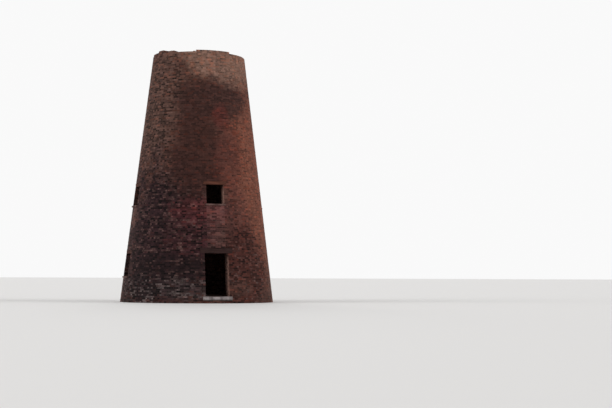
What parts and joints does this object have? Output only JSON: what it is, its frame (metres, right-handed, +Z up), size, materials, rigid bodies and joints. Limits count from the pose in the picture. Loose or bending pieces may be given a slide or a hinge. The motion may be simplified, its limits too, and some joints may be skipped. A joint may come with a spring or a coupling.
{
  "type": "brick tower windmill shell without cap or sails",
  "caption": "Tapering round brick tower of a derelict windmill with an open top, opposite doorways, windows on four sides, thick hollow walls and a timber first floor.",
  "frame": {"origin": "centre of the round base at ground level, where the tower stands", "axes": "+Z up along the tower's axis, -Y out through the front doorway, +X to the right of it"},
  "size_m": [7.5196, 7.52, 12.264],
  "materials": {
    "brickwork": "weathered brick",
    "paving": "worn brick paving",
    "stone": "weathered stone",
    "lintel_timber": "weathered timber",
    "floor_timber": "rough sawn timber"
  },
  "bodies": {
    "root": {"front_wall_left_of_door": "brickwork", "front_wall_right_of_door": "brickwork", "front_wall_over_door": "brickwork", "front_wall_left_of_window": "brickwork", "front_wall_right_of_window": "brickwork", "front_wall_under_window": "brickwork", "front_wall_over_window": "brickwork", "front_upper_wall": "brickwork", "right_wall_left_of_ground_window": "brickwork", "right_wall_right_of_ground_window": "brickwork", "right_wall_under_ground_window": "brickwork", "right_wall_over_ground_window": "brickwork", "right_wall_left_of_window": "brickwork", "right_wall_right_of_window": "brickwork", "right_wall_under_window": "brickwork", "right_wall_over_window": "brickwork", "right_upper_wall": "brickwork", "back_wall_left_of_door": "brickwork", "back_wall_right_of_door": "brickwork", "back_wall_over_door": "brickwork", "back_wall_left_of_window": "brickwork", "back_wall_right_of_window": "brickwork", "back_wall_under_window": "brickwork", "back_wall_over_window": "brickwork", "back_upper_wall": "brickwork", "left_wall_left_of_ground_window": "brickwork", "left_wall_right_of_ground_window": "brickwork", "left_wall_under_ground_window": "brickwork", "left_wall_over_ground_window": "brickwork", "left_wall_left_of_window": "brickwork", "left_wall_right_of_window": "brickwork", "left_wall_under_window": "brickwork", "left_wall_over_window": "brickwork", "left_upper_wall": "brickwork", "door_lintels": "lintel_timber", "ground_window_lintels": "lintel_timber", "window_lintels": "lintel_timber", "door_thresholds": "stone", "ground_window_sills": "stone", "window_sills": "stone", "ground_floor": "paving", "first_floor_beams": "floor_timber", "first_floor_joists": "floor_timber", "first_floor_boards": "floor_timber"}
  },
  "joints": []
}
